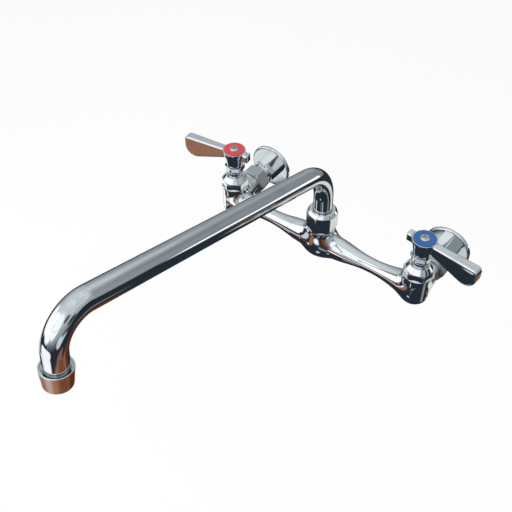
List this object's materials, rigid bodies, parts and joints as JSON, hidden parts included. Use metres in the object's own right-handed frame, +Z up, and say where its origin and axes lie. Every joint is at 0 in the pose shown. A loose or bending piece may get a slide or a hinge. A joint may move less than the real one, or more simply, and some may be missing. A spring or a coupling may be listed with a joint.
{
  "type": "wall-mounted kitchen tap",
  "caption": "Wall-mounted chrome kitchen tap with a red and a blue paddle lever and a long swinging spout.",
  "frame": {"origin": "on the wall, midway between the two inlets, at inlet height", "axes": "+X from the hot inlet to the cold inlet, +Y into the wall, +Z up"},
  "size_m": [0.3112, 0.3783, 0.194],
  "materials": {
    "chrome": "polished chrome plate",
    "stainless": "bright",
    "brass": "machined",
    "rubber": "moulded",
    "ceramic": "lapped",
    "nylon": "moulded",
    "red_disc": "satin",
    "blue_disc": "satin"
  },
  "bodies": {
    "body": {"mixer_body": "chrome", "swivel_nut": "chrome", "inlet_flange_hot": "chrome", "inlet_flange_cold": "chrome", "union_nut_hot": "chrome", "union_nut_cold": "chrome", "union_washer_hot": "rubber", "union_washer_cold": "rubber", "bonnet_nut_hot": "chrome", "bonnet_nut_cold": "chrome", "cartridge_body_hot": "chrome", "cartridge_body_cold": "chrome", "cartridge_seal_hot": "rubber", "cartridge_seal_cold": "rubber", "seat_seal_hot": "rubber", "seat_seal_cold": "rubber", "fixed_disc_hot": "ceramic", "fixed_disc_cold": "ceramic"},
    "hot_handle": {"moving_disc_hot": "ceramic", "valve_stem_hot": "brass", "stem_seal_hot": "rubber", "lever_hot": "chrome", "index_disc_hot": "red_disc", "handle_screw_hot": "stainless"},
    "cold_handle": {"moving_disc_cold": "ceramic", "valve_stem_cold": "brass", "stem_seal_cold": "rubber", "lever_cold": "chrome", "index_disc_cold": "blue_disc", "handle_screw_cold": "stainless"},
    "spout": {"spout_tube": "chrome", "spout_ferrule": "brass", "spout_seals": "rubber", "swivel_washer": "nylon", "outlet_sleeve": "brass", "aerator_housing": "chrome", "aerator_washer": "rubber", "aerator_insert": "nylon", "aerator_screen": "stainless"}
  },
  "joints": [
    {"name": "hot_handle_turn", "type": "hinge", "parent": "body", "child": "hot_handle", "pos_m": [-0.1016, -0.0615, 0], "axis": [0, 0, 1], "range_deg": [0, 90]},
    {"name": "cold_handle_turn", "type": "hinge", "parent": "body", "child": "cold_handle", "pos_m": [0.1016, -0.0615, 0], "axis": [0, 0, -1], "range_deg": [0, 90]},
    {"name": "spout_swing", "type": "hinge", "parent": "body", "child": "spout", "pos_m": [0, -0.0615, 0], "axis": [0, 0, 1], "range_deg": [-90, 90]}
  ]
}
